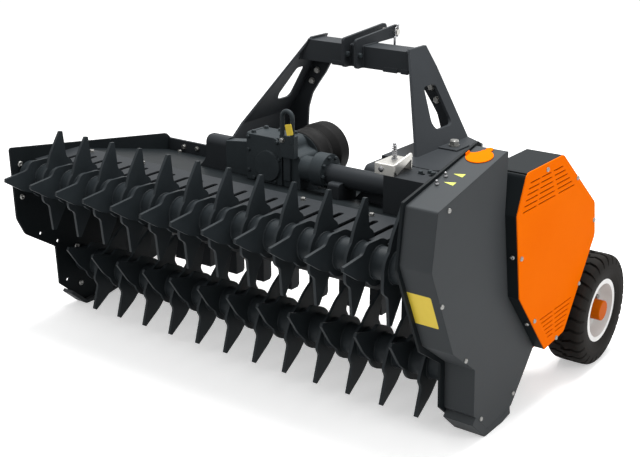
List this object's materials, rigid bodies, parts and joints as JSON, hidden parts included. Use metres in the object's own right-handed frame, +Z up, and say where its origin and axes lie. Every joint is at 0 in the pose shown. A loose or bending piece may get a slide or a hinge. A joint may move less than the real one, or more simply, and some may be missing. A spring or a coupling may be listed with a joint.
{
  "type": "tractor mulcher",
  "caption": "Three-point tractor mulcher with two tined pick-up rotors, a slotted comb, a hammer rotor under a hood, side drive cases and a pair of rear wheels.",
  "frame": {"origin": "on the ground, below the middle of the machine's box", "axes": "+X to the drive side, +Y back towards the tractor, +Z up"},
  "size_m": [2.356, 1.4889, 1.2206],
  "materials": {
    "dark_paint": "satin powder coat",
    "grey_paint": "satin powder coat",
    "orange_paint": "gloss powder coat",
    "black_paint": "satin powder coat",
    "cast_paint": "painted casting",
    "zinc": "zinc plated",
    "steel": "turned",
    "rim_paint": "gloss paint",
    "tyre": "moulded",
    "plastic": "moulded"
  },
  "bodies": {
    "frame": {"left_side_plate": "dark_paint", "right_side_plate": "black_paint", "hood_shell": "dark_paint", "comb_plate": "dark_paint", "rear_bar": "dark_paint", "rear_skirt": "dark_paint", "chain_case": "grey_paint", "belt_box": "black_paint", "belt_cover": "orange_paint", "drive_bearing": "cast_paint", "drive_box": "dark_paint", "left_bearings": "cast_paint", "gearbox": "cast_paint", "gearbox_cover": "cast_paint", "gearbox_left_mount": "cast_paint", "cross_shaft_tube": "dark_paint", "pto_shield": "plastic", "lifting_eye": "cast_paint", "left_rail": "dark_paint", "right_rail": "dark_paint", "left_leg": "dark_paint", "right_leg": "dark_paint", "left_hitch": "dark_paint", "right_hitch": "dark_paint", "headstock_beam": "dark_paint", "top_link_clevis": "dark_paint", "top_link_pin": "zinc", "hose_bracket": "zinc", "left_wheel_arm": "orange_paint", "right_wheel_arm": "orange_paint", "left_skid": "black_paint", "right_skid": "black_paint"},
    "upper_reel": {"upper_rotor": "dark_paint"},
    "lower_reel": {"lower_rotor": "dark_paint"},
    "hammers": {"hammer_rotor": "dark_paint"},
    "pto": {"pto_shaft": "steel"},
    "left_wheel": {"left_tyre": "tyre", "left_rim": "rim_paint", "left_hub": "orange_paint"},
    "right_wheel": {"right_tyre": "tyre", "right_rim": "rim_paint", "right_hub": "orange_paint"},
    "lid": {"inspection_lid": "orange_paint"}
  },
  "joints": [
    {"name": "upper_reel_spin", "type": "hinge", "parent": "frame", "child": "upper_reel", "pos_m": [0, -0.541, 0.668], "axis": [1, 0, 0], "continuous": true},
    {"name": "lower_reel_spin", "type": "hinge", "parent": "frame", "child": "lower_reel", "pos_m": [0, -0.276, 0.215], "axis": [1, 0, 0], "continuous": true},
    {"name": "hammer_spin", "type": "hinge", "parent": "frame", "child": "hammers", "pos_m": [0, 0.125, 0.335], "axis": [1, 0, 0], "continuous": true},
    {"name": "pto_spin", "type": "hinge", "parent": "frame", "child": "pto", "pos_m": [0, 0.2, 0.758], "axis": [0, 1, 0], "continuous": true},
    {"name": "left_wheel_spin", "type": "hinge", "parent": "frame", "child": "left_wheel", "pos_m": [-1.0995, 0.505, 0.226], "axis": [1, 0, 0], "continuous": true},
    {"name": "right_wheel_spin", "type": "hinge", "parent": "frame", "child": "right_wheel", "pos_m": [1.0995, 0.505, 0.226], "axis": [1, 0, 0], "continuous": true},
    {"name": "lid_swing", "type": "hinge", "parent": "frame", "child": "lid", "pos_m": [1.036, -0.256, 1.032], "axis": [0, -0.2155, 0.9765], "range_deg": [0, 90]}
  ],
  "couplings": [
    {"joint": "pto_spin", "follows": "hammer_spin", "ratio": 0.27},
    {"joint": "upper_reel_spin", "follows": "hammer_spin", "ratio": 0.055},
    {"joint": "lower_reel_spin", "follows": "hammer_spin", "ratio": -0.055}
  ]
}
